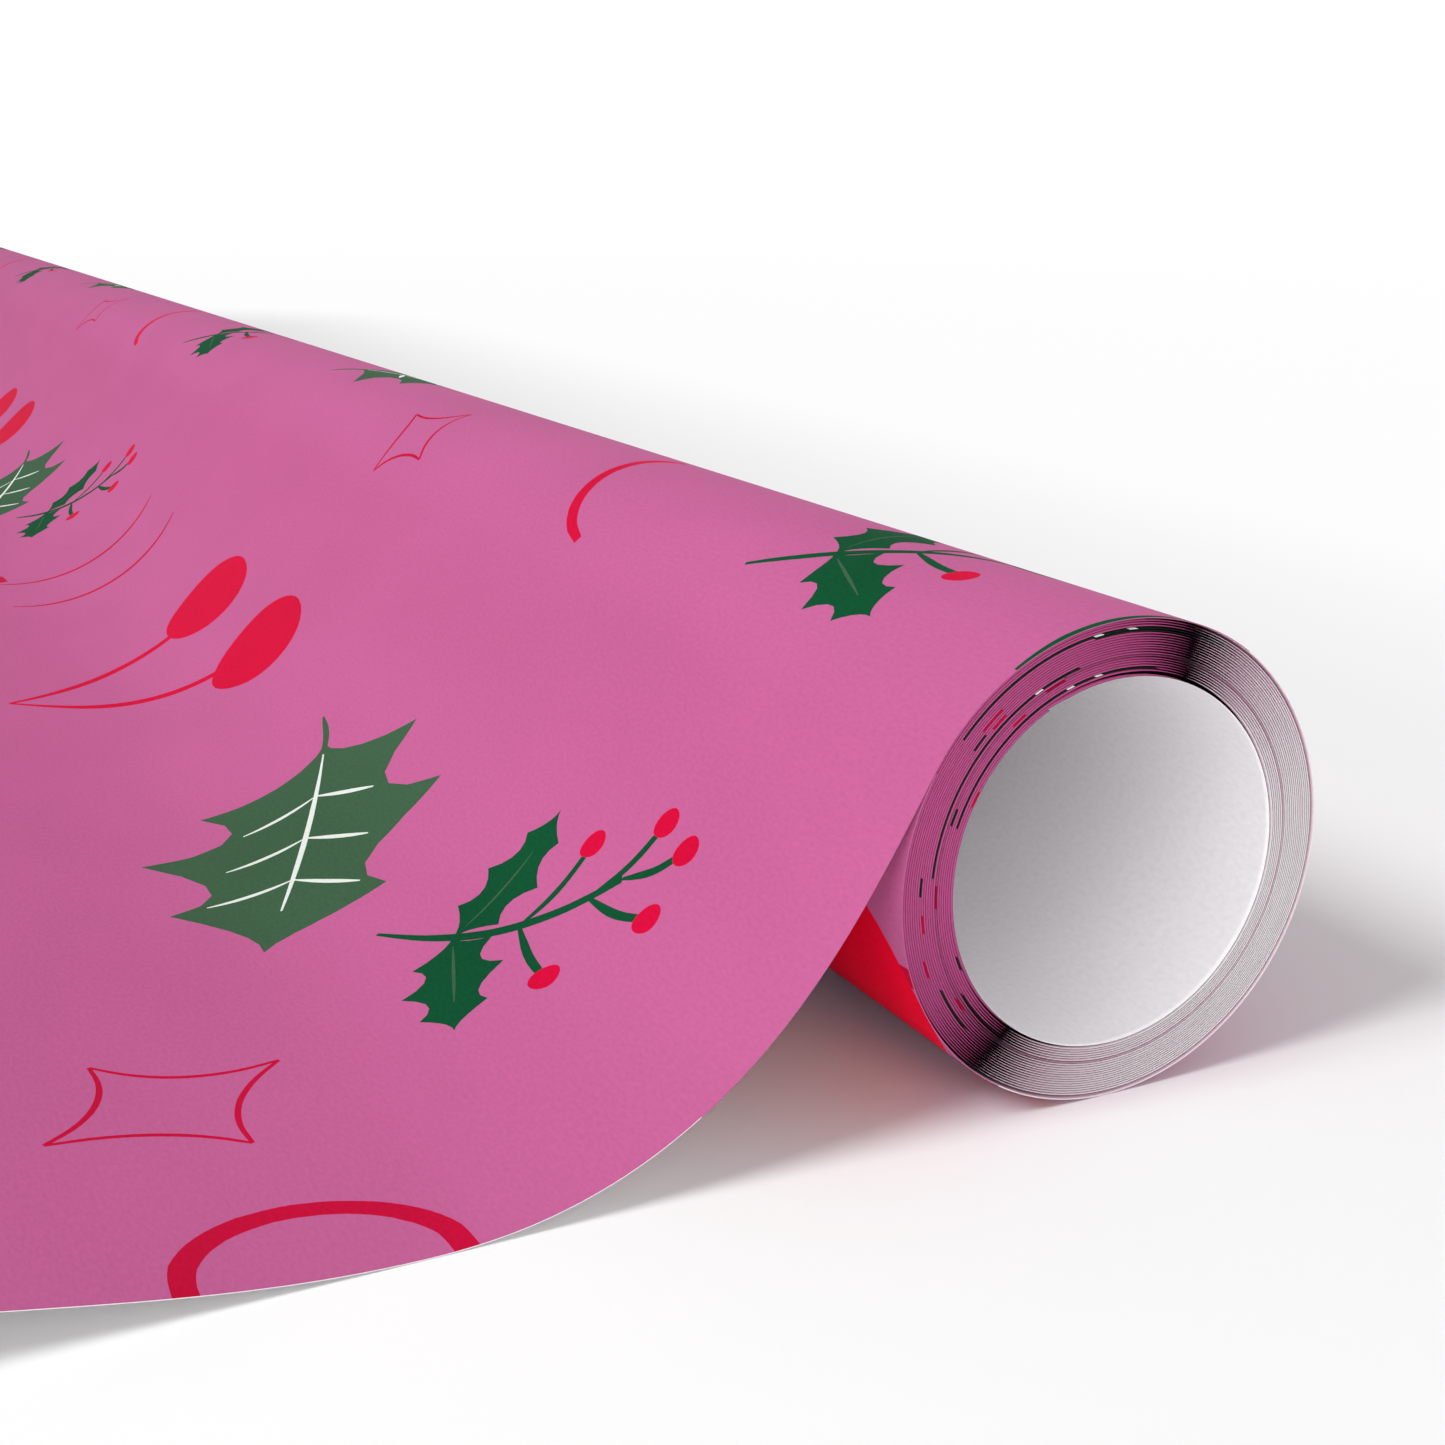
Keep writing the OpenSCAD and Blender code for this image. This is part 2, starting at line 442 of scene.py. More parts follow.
def hollyLeaf(base, tip, wide, steps=5):
    # A leaf with the same hollow arcs and spikes on both sides
    spot = onLeaf(base, tip, wide)

    def side(sign):
        knots = [(0.0, 0.0)] + [(t, h * sign) for t, h in leafSet["spikes"]] + [(1.0, 0.0)]
        out = []
        for (t0, h0), (t1, h1) in zip(knots, knots[1:]):
            start = spot(t0, h0)
            finish = spot(t1, h1)
            middle = spot((t0 + t1) / 2, (h0 + h1) / 2 * (1 - leafSet["hollow"]))
            for i in range(steps):
                u = i / steps
                out.append(start * (1 - u) ** 2 + middle * 2 * u * (1 - u) + finish * u * u)
        return out

    return side(1) + [spot(1, 0)] + side(-1)[:0:-1]


def arc(x, s, radius, fromAngle, toAngle, steps=6):
    # Evenly spaced points on part of a circle
    return [Vector((x, s)) + turned(radius, 0, fromAngle + (toAngle - fromAngle) * i / steps)
            for i in range(steps + 1)]


def starOutline(x, s, reach, angle, wide=0.55, hollowness=0.55):
    # Four hollow sides between four tips, each a thin stroke; two tips reach further than the others
    centre = Vector((x, s))
    tips = [centre + turned(reach * (1.0, 0.8)[i % 2], 0, angle + 90 * i) for i in range(4)]
    out = []
    for a, b in zip(tips, tips[1:] + tips[:1]):
        middle = (a + b) / 2
        middle += (centre - middle) * hollowness
        near = [a * (1 - u) ** 2 + middle * 2 * u * (1 - u) + b * u * u for u in (0, 0.2, 0.4, 0.6, 0.8, 1)]
        out.append(("lineRed", stroke(near, wide, 0.7, 0.7, 3)))
    return out


def bigHolly(base, tip, wide):
    # A broad mid green leaf with a short stalk, a pale midrib and three pairs of side veins
    spot = onLeaf(base, tip, wide)
    parts = [("leafGreen", hollyLeaf(base, tip, wide)),
             ("leafGreen", stroke([spot(-0.15, 0.05), spot(-0.05, 0), spot(0.05, 0)], 0.9, 0.3, 1))]
    veins = [[(0.05, 0), (0.3, 0), (0.55, 0), (0.8, 0)]]
    for start in leafSet["veins"]:
        for side in (-1, 1):
            veins.append([(start, 0), (start + 0.05, 0.25 * side), (start + 0.1, 0.5 * side)])
    return parts + [("veinWhite", stroke([spot(t, h) for t, h in v], 0.7, 0.3, 0.3, 5)) for v in veins]


def smallLeaf(base, tip, wide):
    # A dark green leaf with a thin midrib
    rib = stroke([base.lerp(tip, share) for share in (0.1, 0.4, 0.7)], 0.35, 0.3, 0.3, 4)
    return [("sprigGreen", hollyLeaf(base, tip, wide)), ("leafGreen", rib)]


# Lengths in millimetres; each stalk is (place on the stem, length, angle off the stem)
sprigSet = {
    "stem": 30,
    "stemWide": 1.1,
    "bow": 2,
    "leafLength": 16,
    "leafWide": 9,
    "leafAt": 10,
    "leafAngle": 60,
    "stalks": [(18, 10, 50), (18, 10, -50), (26, 10, 30), (26, 10, -30), (30, 8, 0)],
    "stalkWide": 0.9,
    "stalkBow": 0.6,
    "berry": 3.4,
    "berryFlat": 0.85,
}


def berrySprig(x, s, heading):
    # A bowed dark stem with a leaf on each side, and a berry at the end of each stalk
    values = sprigSet

    def on(u):
        return Vector((x, s)) + turned(u, values["bow"] * math.sin(math.pi * u / values["stem"]), heading)

    line = [on(values["stem"] * share) for share in (0, 0.25, 0.5, 0.75, 1)]
    parts = [("sprigGreen", stroke(line, values["stemWide"], 0.4, 0.8))]
    root = on(values["leafAt"])
    for side in (-1, 1):
        reach = turned(values["leafLength"], 0, heading + side * values["leafAngle"])
        parts += smallLeaf(root, root + reach, values["leafWide"])
    for start, length, angle in values["stalks"]:
        root = on(start)
        end = root + turned(length, 0, heading + angle)
        middle = root.lerp(end, 0.5) + turned(0, values["stalkBow"], heading)
        parts.append(("sprigGreen", stroke([root, middle, end], values["stalkWide"], 0.4, 0.8)))
        flat = values["berry"] * values["berryFlat"]
        parts.append(("berryRed", oval(end.x, end.y, values["berry"], flat, heading)))
    return parts


cherrySet = {"apart": 16, "drop": 34, "bow": 2, "stalkWide": 1.8, "long": 20, "wide": 16, "lean": 20,
             "corners": 32}


def cherryPair(x, s):
    # Two fruits on bowed stalks that meet in a point, each as far to its side
    values = cherrySet
    point = Vector((x, s))
    parts = []
    for side in (-1, 1):
        fruit = point + Vector((values["apart"] * side, -values["drop"]))
        bow = point.lerp(fruit, 0.5) + Vector((values["bow"] * side, 0))
        parts.append(("berryRed", stroke([point, bow, fruit], values["stalkWide"], 0.35, 0.8)))
        outline = oval(fruit.x, fruit.y, values["long"], values["wide"], values["lean"], values["corners"])
        parts.append(("berryRed", outline))
    return parts


def oneRepeat():
    # One repeat of the print, in the order that the inks are laid
    parts = bigHolly((-105, 30), (-60, 50), 32)
    parts += bigHolly((-205, -20), (-170, -40), 22)
    parts += berrySprig(-55, 40, -40)
    parts += berrySprig(-45, -10, -40)
    parts += cherryPair(-165, 60)
    parts += starOutline(-30, 65, 12, 60)
    parts += starOutline(-145, -10, 10, 20)
    parts.append(("lineRed", stroke(arc(0, 60, 10, 80, 280), 2.0, 0.9, 0.9)))
    parts.append(("berryRed", stroke(arc(-75, -20, 15, 100, 200), 1.8, 0.6, 0.8)))
    for x in (-270, -250):
        parts.append(("lineRed", stroke(arc(x, 35, 25, -40, 40), 1.1)))
    return parts


printParts = oneRepeat()
printRepeat = {"across": 254.0, "along": web["feed"]}


def signedArea(points):
    return sum(a.x * b.y - b.x * a.y for a, b in zip(points, points[1:] + points[:1])) / 2


def printWithin(fromS, toS, extras=()):
    # The repeat laid out over a stretch of web, as (ink, outline) in model x and s
    out = []
    across = range(-1, math.ceil(web["width"] / printRepeat["across"]) + 1)
    along = range(math.floor(fromS / printRepeat["along"]) - 1, math.ceil(toS / printRepeat["along"]) + 2)
    for i in across:
        for j in along:
            shift = Vector((openEnd - i * printRepeat["across"], j * printRepeat["along"]))
            out += [(ink, [p + shift for p in outline]) for ink, outline in printParts]
    out += [(ink, [p + Vector((openEnd, 0)) for p in outline]) for ink, outline in extras]
    kept = []
    for ink, outline in out:
        xs = [p.x for p in outline]
        ss = [p.y for p in outline]
        if max(ss) > fromS and min(ss) < toS and max(xs) > -openEnd and min(xs) < openEnd:
            kept.append((ink, outline if signedArea(outline) > 0 else outline[::-1]))
    return kept


# Free web: a printed face, a white back and cut edges, bent along a path

def pathFrom(face, normals, startS):
    face = np.array(face, float)
    normals = np.array(normals, float)
    along = startS + np.concatenate([[0], np.cumsum(np.linalg.norm(np.diff(face, axis=0), axis=1))])
    return {"face": face, "normals": normals, "s": along}


cdtSet = {"keepInside": 1, "tolerance": 1e-4}
shortest = 1e-9


def freeWeb(name, path, extras=(), lines=(), shadedEdges=(), shadedInk="shadedCutEdge", thick=paper,
            half=openEnd):
    # Triangulates the print and the bend lines together, then bends the flat drawing along the path
    fromS = path["s"][0]
    toS = path["s"][-1]
    bends = sorted(set(path["s"][1:-1]) | set(lines))
    flat = [Vector(p) for p in ((-half, fromS), (half, fromS), (half, toS), (-half, toS))]
    faces = [[0, 1, 2, 3]]
    edges = []
    for s in bends:
        edges.append((len(flat), len(flat) + 1))
        flat += [Vector((-half, s)), Vector((half, s))]
    drawn = printWithin(fromS, toS, extras)
    for ink, outline in drawn:
        faces.append(list(range(len(flat), len(flat) + len(outline))))
        flat += outline
    points, _, triangles, _, _, owners = geometry.delaunay_2d_cdt(
        flat, edges, faces, cdtSet["keepInside"], cdtSet["tolerance"])
    kept = [(t, max(o)) for t, o in zip(triangles, owners) if 0 in o]

    used = sorted({v for t, _ in kept for v in t})
    index = {v: i for i, v in enumerate(used)}
    xs = np.array([points[v].x for v in used])
    ss = np.array([points[v].y for v in used])
    y, z = (np.interp(ss, path["s"], path["face"][:, k]) for k in (0, 1))
    ny, nz = (np.interp(ss, path["s"], path["normals"][:, k]) for k in (0, 1))
    size = np.hypot(ny, nz)
    ny, nz = ny / size, nz / size
    front = np.stack([xs, y, z], axis=1)
    back = np.stack([xs, y - thick * ny, z - thick * nz], axis=1)
    count = len(used)

    faceList = []
    slots = []
    normals = []
    outward = np.stack([np.zeros(count), ny, nz], axis=1)
    for t, owner in kept:
        corners = [index[v] for v in t]
        a, b, c = (front[i] for i in corners)
        if np.cross(b - a, c - a) @ outward[corners[0]] < 0:
            corners = corners[::-1]
        faceList.append(corners)
        slots.append(inkNames.index(drawn[owner - 1][0]) if owner else 0)
        normals += [outward[i] for i in corners]
    openSides = {}
    for corners in faceList:
        for a, b in zip(corners, corners[1:] + corners[:1]):
            if (b, a) in openSides:
                del openSides[(b, a)]
            else:
                openSides[(a, b)] = True
    for corners in [f[::-1] for f in faceList]:
        faceList.append([i + count for i in corners])
        slots.append(len(inkNames))
        normals += [-outward[i] for i in corners]
    for a, b in openSides:
        faceList.append([b, a, a + count, b + count])
        shaded = any(low <= ss[a] <= high for low, high in shadedEdges)
        slots.append(len(inkNames) + (2 if shaded else 1))
        side = np.cross(front[b] - front[a], outward[a])
        side = side / max(np.linalg.norm(side), shortest)
        normals += [side] * 4

    mesh = bpy.data.meshes.new(name)
    mesh.from_pydata((np.concatenate([front, back]) * mm).tolist(), [], faceList)
    for ink in inkNames + ["paperBack", "cutEdge", shadedInk]:
        mesh.materials.append(materials[ink])
    mesh.polygons.foreach_set("material_index", slots)
    place = mesh.attributes.new("webPlace", "FLOAT_VECTOR", "POINT")
    spots = np.stack([xs, ss, np.zeros(count)], axis=1) * mm
    place.data.foreach_set("vector", np.concatenate([spots, spots]).astype(np.float32).ravel())
    mesh.shade_smooth()
    mesh.update()
    mesh.normals_split_custom_set([list(n) for n in normals])
    piece = bpy.data.objects.new(name, mesh)
    bpy.context.scene.collection.objects.link(piece)
    litGroups["paper"].objects.link(piece)
    print(name, len(mesh.polygons), "faces, from s", round(fromS, 1), "to", round(toS, 1))
    return piece


def roundAt(phi, radius):
    a = math.radians(web["leaveAngle"] - phi)
    return (radius * math.cos(a), radius * math.sin(a))


standingSet = {"wrapSteps": 180, "riserSteps": 60, "archSteps": 66, "shadePastLeaving": 1.05}


def standingPath(values):
    # From the wrap's tail round to the leaving line, down the riser, over the arch and under the sheet
    face = []
    normals = []
    for phi in np.linspace(360, 0, values["wrapSteps"] + 1):
        face.append(roundAt(phi, web["rollRadius"] - (web["rollRadius"] - wrapEndRadius) * phi / 360))
        normals.append(roundAt(phi, 1))

    start = roundAt(0, web["rollRadius"] - paper)
    turn = web["leaveAngle"] - 90
    steps = values["riserSteps"]

    def heading(u):
        return math.radians(turn * max(0, math.cos(math.pi / 2 * u)) ** web["riserEase"])

    mids = [heading((i + 0.5) / steps) for i in range(steps)]
    step = (start[1] - web["tableLevel"]) / sum(math.sin(h) for h in mids)
    y, z = start
    for i, h in enumerate(mids):
        y -= math.cos(h) * step
        z -= math.sin(h) * step
        after = heading((i + 1) / steps)
        normals.append((-math.sin(after), math.cos(after)))
        face.append((y + paper * normals[-1][0], z + paper * normals[-1][1]))

    foot = y
    length = foot - web["archEnd"]
    for i in range(1, values["archSteps"] + 1):
        u = i / values["archSteps"]
        slope = math.pi * web["archHeight"] / length * math.sin(math.tau * u)
        size = math.hypot(1, slope)
        normals.append((slope / size, 1 / size))
        rise = web["archHeight"] / 2 * (1 - math.cos(math.tau * u))
        face.append((foot - length * u + paper * slope / size, web["tableLevel"] + rise + paper / size))
    face.append((web["nextEnd"], web["tableLevel"] + paper))
    normals.append((0, 1))
    path = pathFrom(face, normals, 0)
    path["s"] -= path["s"][values["wrapSteps"]]
    path["archEndS"] = path["s"][-2]
    return path


def wrapOnlyMotifs():
    # A large filled bauble under the wrap, and a dark strip that runs along the open end over its top
    return [("deepRed", oval(-15, -105, 30, 20, 0, 36)),
            ("sprigGreen", stroke([(0, -10), (0, -20), (0, -30)], 1.5, 0.5, 0.7))]


standing = standingPath(standingSet)
# The cut edge is painted a darker pink beside the leaving line and under the riser: the print's colour, with
# painted shade where the web meets the roll
quarterWrap = math.tau * web["rollRadius"] / 4
standingWeb = freeWeb("standingWeb", standing, wrapOnlyMotifs(),
                      shadedEdges=[(-quarterWrap * standingSet["shadePastLeaving"], quarterWrap),
                                   (-quarterWrap * 4, -quarterWrap * 3)])
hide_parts(*bodyNodes["standing_web"])
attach(standingWeb, "standing_web")

sheetTop = web["sheetLevel"] + paper
levelNormals = [(0, 1), (0, 1)]
drawn = pathFrom([(web["archEnd"], sheetTop), (web["sheetEnd"], sheetTop)], levelNormals,
                 standing["archEndS"])
drawnSheet = freeWeb("drawnSheet", drawn)
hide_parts("laid_sheet")
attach(drawnSheet, "drawn_sheet")

edgeSet = {"curlLength": 40.0, "curlSteps": 48}
lead = pathFrom([(web["sheetEnd"], sheetTop), (web["leadEnd"], sheetTop)], levelNormals, drawn["s"][-1])
curlLines = drawn["s"][-1] + np.linspace(0, edgeSet["curlLength"], edgeSet["curlSteps"] + 1)[1:]
leadingEdge = freeWeb("leadingEdge", lead, lines=curlLines.tolist())
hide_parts("leading_edge")
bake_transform(leadingEdge)


# Wound turns, by Geometry Nodes: one long strip whose ring of eight corners follows the spiral

def woundTree():
    tree = bpy.data.node_groups.new("woundTurns", "GeometryNodeTree")
    tree.interface.new_socket("Geometry", in_out="OUTPUT", socket_type="NodeSocketGeometry")
    sizes = ("First Angle", "Last Angle", "Steps", "Outer Radius", "Turn Pitch", "Wound End Angle",
             "Jog Angle", "Ring Radius", "Leave Angle", "Paper", "Half Width", "Edge Strip", "Edge Wander",
             "Layer Wander", "Seed")
    for label in sizes:
        kind = "NodeSocketInt" if label == "Steps" else "NodeSocketFloat"
        tree.interface.new_socket(label, in_out="INPUT", socket_type=kind)
    for label in ("Printed", "Back", "Lining", "Edge", "Painted Shade"):
        tree.interface.new_socket(label, in_out="INPUT", socket_type="NodeSocketMaterial")
    given = tree.nodes.new("NodeGroupInput")
    end = tree.nodes.new("NodeGroupOutput")
    link = tree.links.new

    def math2(operation, a, b=0.0, c=None):
        node = tree.nodes.new("ShaderNodeMath")
        node.operation = operation
        for socket, value in zip(node.inputs, (a, b, c)):
            if value is None:
                continue
            if hasattr(value, "is_linked"):
                link(value, socket)
            else:
                socket.default_value = value
        return node.outputs[0]

    def size(label):
        return given.outputs[label]

    strip = tree.nodes.new("GeometryNodeMeshCylinder")
    strip.fill_type = "NGON"
    strip.inputs["Vertices"].default_value = 8
    strip.inputs["Radius"].default_value = 1.0
    strip.inputs["Depth"].default_value = 1.0
    link(size("Steps"), strip.inputs["Side Segments"])
    here = tree.nodes.new("GeometryNodeInputPosition")
    parts = tree.nodes.new("ShaderNodeSeparateXYZ")
    link(here.outputs[0], parts.inputs[0])
    turn = math2("ARCTAN2", parts.outputs["Y"], parts.outputs["X"])
    corner = math2("FLOORED_MODULO", math2("ROUND", math2("MULTIPLY", turn, 8 / math.tau)), 8.0)
    onBack = math2("GREATER_THAN", corner, 3.5)
    column = math2("ADD", math2("MULTIPLY", onBack, math2("SUBTRACT", 7.0, corner)),
                   math2("MULTIPLY", math2("SUBTRACT", 1.0, onBack), corner))
    # Columns 0 and 3 are the two ends of the roll, 1 and 2 are the edge strips' inner sides
    rightSide = math2("GREATER_THAN", column, 1.5)
    sign = math2("SUBTRACT", math2("MULTIPLY", rightSide, 2.0), 1.0)
    inner = math2("MULTIPLY", math2("GREATER_THAN", column, 0.5), math2("LESS_THAN", column, 2.5))
    reach = math2("SUBTRACT", size("Half Width"), math2("MULTIPLY", inner, size("Edge Strip")))

    share = math2("ADD", parts.outputs["Z"], 0.5)
    phi = math2("ADD", size("First Angle"),
                math2("MULTIPLY", share, math2("SUBTRACT", size("Last Angle"), size("First Angle"))))
    turns = math2("DIVIDE", math2("SUBTRACT", phi, 360.0), 360.0)
    wound = math2("SUBTRACT", size("Outer Radius"), math2("MULTIPLY", turns, size("Turn Pitch")))
    jog = tree.nodes.new("ShaderNodeMapRange")
    jog.interpolation_type = "SMOOTHSTEP"
    link(phi, jog.inputs["Value"])
    link(math2("SUBTRACT", size("Wound End Angle"), size("Jog Angle")), jog.inputs["From Min"])
    link(size("Wound End Angle"), jog.inputs["From Max"])
    jogged = jog.outputs["Result"]

    def wander(scale, amount, shift):
        drift = tree.nodes.new("ShaderNodeTexNoise")
        drift.noise_dimensions = "1D"
        drift.inputs["Scale"].default_value = scale
        drift.inputs["Detail"].default_value = 2.0
        link(math2("ADD", math2("DIVIDE", phi, 360.0), math2("ADD", size("Seed"), shift)), drift.inputs["W"])
        return math2("MULTIPLY", math2("SUBTRACT", drift.outputs[0], 0.5), math2("MULTIPLY", amount, 2.0))

    ripple = wander(woundSet["layerRipple"], size("Layer Wander"), woundSet["layerShift"])
    layer = math2("MULTIPLY", ripple, math2("SUBTRACT", 1.0, jogged))
    free = math2("ADD", wound, layer)
    radius = math2("ADD", math2("MULTIPLY", free, math2("SUBTRACT", 1.0, jogged)),
                   math2("MULTIPLY", size("Ring Radius"), jogged))
    radius = math2("SUBTRACT", radius, math2("MULTIPLY", onBack, size("Paper")))
    angle = math2("RADIANS", math2("SUBTRACT", size("Leave Angle"), phi))
    placeX = math2("ADD", math2("MULTIPLY", sign, reach),
                   wander(woundSet["edgeRipple"], size("Edge Wander"), woundSet["edgeShift"]))
    place = tree.nodes.new("ShaderNodeCombineXYZ")
    link(placeX, place.inputs["X"])
    link(math2("MULTIPLY", radius, math2("COSINE", angle)), place.inputs["Y"])
    link(math2("MULTIPLY", radius, math2("SINE", angle)), place.inputs["Z"])

    def store(source, name, kind, value):
        node = tree.nodes.new("GeometryNodeStoreNamedAttribute")
        node.data_type = kind
        node.inputs["Name"].default_value = name
        link(source, node.inputs["Geometry"])
        link(value, node.inputs["Value"])
        return node.outputs["Geometry"]

    onWeb = tree.nodes.new("ShaderNodeCombineXYZ")
    link(placeX, onWeb.inputs["X"])
    link(math2("MULTIPLY", math2("RADIANS", phi), wound), onWeb.inputs["Y"])
    shape = store(strip.outputs["Mesh"], "webPlace", "FLOAT_VECTOR", onWeb.outputs[0])
    shape = store(shape, "turnedAngle", "FLOAT", phi)
    move = tree.nodes.new("GeometryNodeSetPosition")
    link(shape, move.inputs["Geometry"])
    link(place.outputs[0], move.inputs["Position"])
    real = tree.nodes.new("GeometryNodeRealizeInstances")
    link(move.outputs[0], real.inputs[0])

    flat = tree.nodes.new("GeometryNodeInputPosition")
    radial = tree.nodes.new("ShaderNodeVectorMath")
    radial.operation = "MULTIPLY"
    link(flat.outputs[0], radial.inputs[0])
    radial.inputs[1].default_value = (0, 1, 1)
    unit = tree.nodes.new("ShaderNodeVectorMath")
    unit.operation = "NORMALIZE"
    link(radial.outputs[0], unit.inputs[0])
    facing = tree.nodes.new("GeometryNodeInputNormal")
    dot = tree.nodes.new("ShaderNodeVectorMath")
    dot.operation = "DOT_PRODUCT"
    link(unit.outputs[0], dot.inputs[0])
    link(facing.outputs[0], dot.inputs[1])
    outward = math2("GREATER_THAN", dot.outputs["Value"], 0.5)
    inward = math2("LESS_THAN", dot.outputs["Value"], -0.5)
    smooth = tree.nodes.new("GeometryNodeSetShadeSmooth")
    link(real.outputs[0], smooth.inputs["Geometry"])
    link(math2("ADD", outward, inward), smooth.inputs["Shade Smooth"])
    shape = smooth.outputs[0]
    stored = tree.nodes.new("GeometryNodeInputNamedAttribute")
    stored.data_type = "FLOAT"
    stored.inputs["Name"].default_value = "turnedAngle"
    turnedTo = stored.outputs[0]
    jogStart = math2("SUBTRACT", size("Wound End Angle"), size("Jog Angle"))
    lining = math2("MULTIPLY", inward, math2("GREATER_THAN", turnedTo, jogStart))
    # Between two turns, past the edge strip, little light comes in, so these faces are painted near black
    # with the deep shade material: painted shade
    spot = tree.nodes.new("ShaderNodeSeparateXYZ")
    link(flat.outputs[0], spot.inputs[0])
    stripInside = math2("SUBTRACT", size("Half Width"), size("Edge Strip"))
    deep = math2("LESS_THAN", math2("ABSOLUTE", spot.outputs["X"]), stripInside)
    lastTurn = math2("SUBTRACT", size("Last Angle"), 360.0)
    overTurn = math2("MULTIPLY", inward, math2("LESS_THAN", turnedTo, lastTurn))
    paintedShade = math2("MULTIPLY", deep, math2("ADD", outward, overTurn))
    # The Edge material is the near-black painted shade of the wound cut edges
    choices = (("Edge", None), ("Back", inward), ("Lining", lining), ("Printed", outward),
               ("Painted Shade", paintedShade))
    for label, chosen in choices:
        paint = tree.nodes.new("GeometryNodeSetMaterial")
        link(shape, paint.inputs["Geometry"])
        if chosen:
            link(chosen, paint.inputs["Selection"])
        link(size(label), paint.inputs["Material"])
        shape = paint.outputs[0]
    link(shape, end.inputs[0])
    return tree


woundSet = {
    "stepsPerTurn": 150,
    "endSetBack": 0.1,
    "edgeStrip": 0.6,
    "edgeWander": 0.03,
    "edgeRipple": 1.7,
    "edgeShift": 37.0,
    "layerWander": 0.02,
    "layerRipple": 3.1,
    "layerShift": 11.0,
    "rim": 0.042,
    "seed": 4.0,
}
# Where the print shows as short dashes at the ends: turns in from the leaving line, from and to round
# the roll, and its ink. Narrow pale ones are veins that lie over a leaf's dash. Green dashes take the
# print's green darkened with painted shade, as seen in the gaps between turns.
endDashes = [
    (4, 100, 98, "veinWhite"),
    (4, 90, 88, "veinWhite"),
    (4, 140, 60, "shadedGreen"),
    (5, 100, 65, "shadedGreen"),
    (8, 200, 195, "berryRed"),
    (9, 180, 175, "shadedGreen"),
    (9, 135, 130, "berryRed"),
    (10, 190, 185, "berryRed"),
    (11, 140, 135, "shadedGreen"),
    (11, 220, 205, "shadedGreen"),
    (12, 135, 130, "berryRed"),
    (14, 130, 128, "veinWhite"),
    (14, 120, 118, "veinWhite"),
    (14, 175, 105, "shadedGreen"),
    (15, 215, 210, "berryRed"),
    (17, 160, 155, "shadedGreen"),
    (18, 230, 210, "shadedGreen"),
    (18, 130, 125, "berryRed"),
    (20, 110, 108, "veinWhite"),
    (20, 100, 98, "veinWhite"),
    (20, 160, 80, "shadedGreen"),
    (22, 205, 200, "shadedGreen"),
    (23, 155, 150, "berryRed"),
]
woundGroup = woundTree()


def socketOf(group, label):
    return next(item.identifier for item in group.interface.items_tree
                if item.name == label and item.in_out == "INPUT")


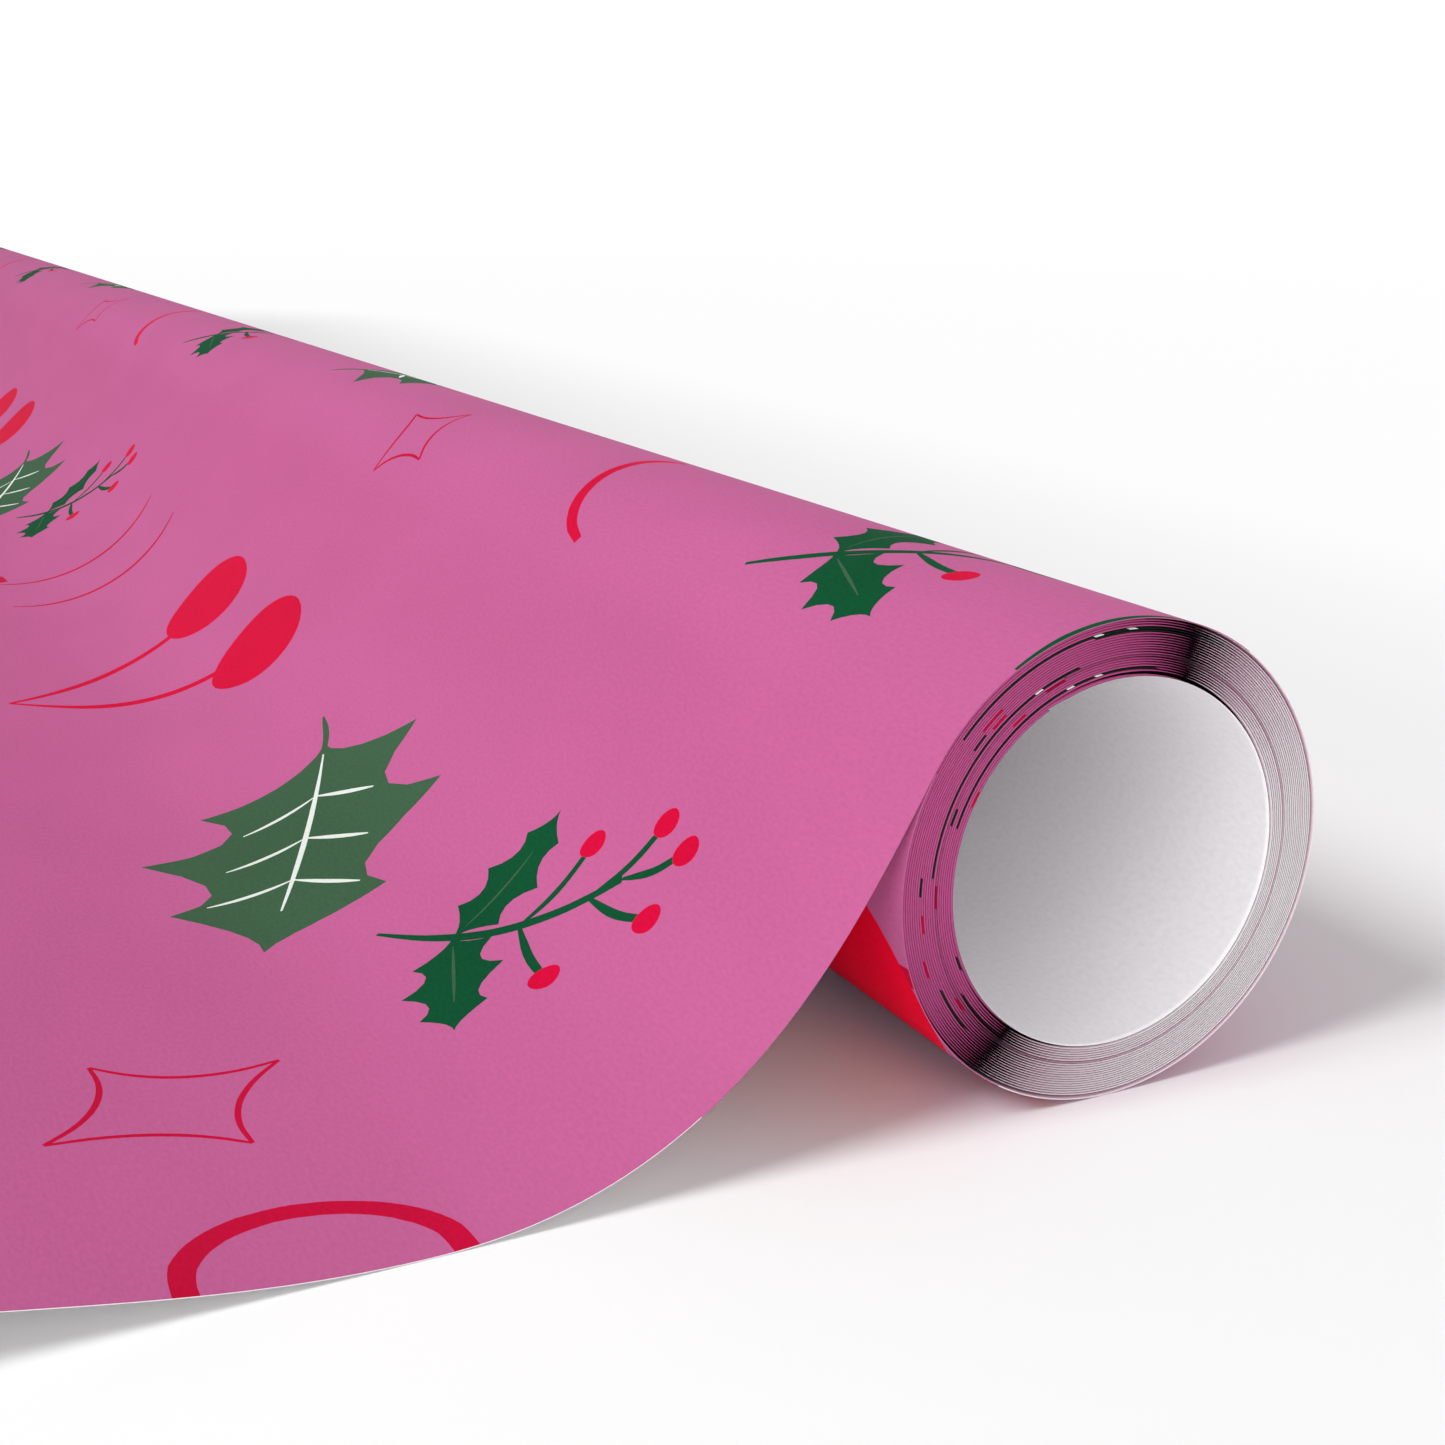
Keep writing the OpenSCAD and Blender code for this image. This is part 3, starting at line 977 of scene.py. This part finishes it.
def woundTurns(name, fromPhi, toPhi):
    steps = round((toPhi - fromPhi) / 360 * woundSet["stepsPerTurn"])
    blank = bpy.data.meshes.new(name + "Blank")
    maker = bpy.data.objects.new(name + "Maker", blank)
    bpy.context.scene.collection.objects.link(maker)
    modifier = maker.modifiers.new("turns", "NODES")
    modifier.node_group = woundGroup
    values = {
        "First Angle": fromPhi, "Last Angle": toPhi, "Steps": steps,
        "Outer Radius": coilRadius * mm, "Turn Pitch": turnPitch * mm,
        "Wound End Angle": float(coilEndPhi), "Jog Angle": web["tailGap"] + web["jogExtra"],
        "Ring Radius": ringRadius * mm, "Leave Angle": web["leaveAngle"],
        "Paper": woundSet["rim"] * mm, "Half Width": (openEnd - woundSet["endSetBack"]) * mm,
        "Edge Strip": woundSet["edgeStrip"] * mm,
        "Edge Wander": woundSet["edgeWander"] * mm, "Layer Wander": woundSet["layerWander"] * mm,
        "Seed": woundSet["seed"],
        "Printed": materials["woundPink"], "Back": materials["woundBack"], "Lining": materials["paperBack"],
        "Edge": materials["shadedWoundEdge"], "Painted Shade": materials["deepShade"],
    }
    for label, value in values.items():
        modifier[socketOf(woundGroup, label)] = value
    mesh = bpy.data.meshes.new_from_object(maker.evaluated_get(bpy.context.evaluated_depsgraph_get()))
    mesh.name = name
    if mesh.materials[0] is None:  # the cylinder node's own empty slot
        mesh.materials.pop(index=0)
    bpy.data.objects.remove(maker)
    piece = bpy.data.objects.new(name, mesh)
    bpy.context.scene.collection.objects.link(piece)
    litGroups["paper"].objects.link(piece)
    inkDashes(mesh)
    print(name, len(mesh.polygons), "faces")
    return piece


def inkDashes(mesh):
    phis = np.zeros(len(mesh.vertices), np.float32)
    mesh.attributes["turnedAngle"].data.foreach_get("value", phis)
    slots = {material.name: i for i, material in enumerate(mesh.materials)}
    printed = slots["woundPink"]
    limit = (openEnd - woundSet["endSetBack"] - woundSet["edgeStrip"]) * mm
    for ink in ("shadedGreen", "berryRed", "veinWhite"):
        if ink not in slots:
            slots[ink] = len(mesh.materials)
            mesh.materials.append(materials[ink])
    dashes = [(web["leaveAngle"] - start + 360 * n, web["leaveAngle"] - finish + 360 * n, ink)
              for n, start, finish, ink in endDashes]
    for face in mesh.polygons:
        if face.material_index != printed or abs(face.center.x) < limit:
            continue
        phi = float(np.mean([phis[v] for v in face.vertices]))
        inks = [ink for start, finish, ink in dashes if start <= phi <= finish]
        if inks:
            face.material_index = slots[inks[0]]


slipPhi = secondPhi + 360 * (web["turns"] - web["slippingTurns"] - 2)
coilTurns = woundTurns("coilTurns", 360.0, float(slipPhi))
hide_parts(*bodyNodes["coil"])
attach(coilTurns, "coil")


def slippingPath(steps):
    # The outermost slipping turn, whose print comes into sight when it slides out
    face = []
    normals = []
    for phi in np.linspace(slipPhi + 360, slipPhi + web["slipGap"], steps + 1):
        radius = coilRadius - turnPitch * (phi - 360) / 360
        face.append(roundAt(phi, radius))
        normals.append(roundAt(phi, 1))
    return pathFrom(face, normals, -(coilRadius + radius) / 2 * math.radians(slipPhi + 360))


slipping = slippingPath(standingSet["wrapSteps"])
# Its cut edges along the whole turn get the near-black painted shade of the wound edges
slippingFace = freeWeb("slippingFace", slipping, shadedEdges=[(slipping["s"][0], slipping["s"][-1])],
                       shadedInk="shadedWoundEdge", thick=woundSet["rim"], half=openEnd - woundSet["endSetBack"])
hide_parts(bodyNodes["slipping_turns"][0])
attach(slippingFace, "slipping_turns")
slippingTurns = woundTurns("slippingTurns", slipPhi + 360.0, coilEndPhi + 360.0 - web["tailGap"])
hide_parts(*bodyNodes["slipping_turns"][1:])
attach(slippingTurns, "slipping_turns")
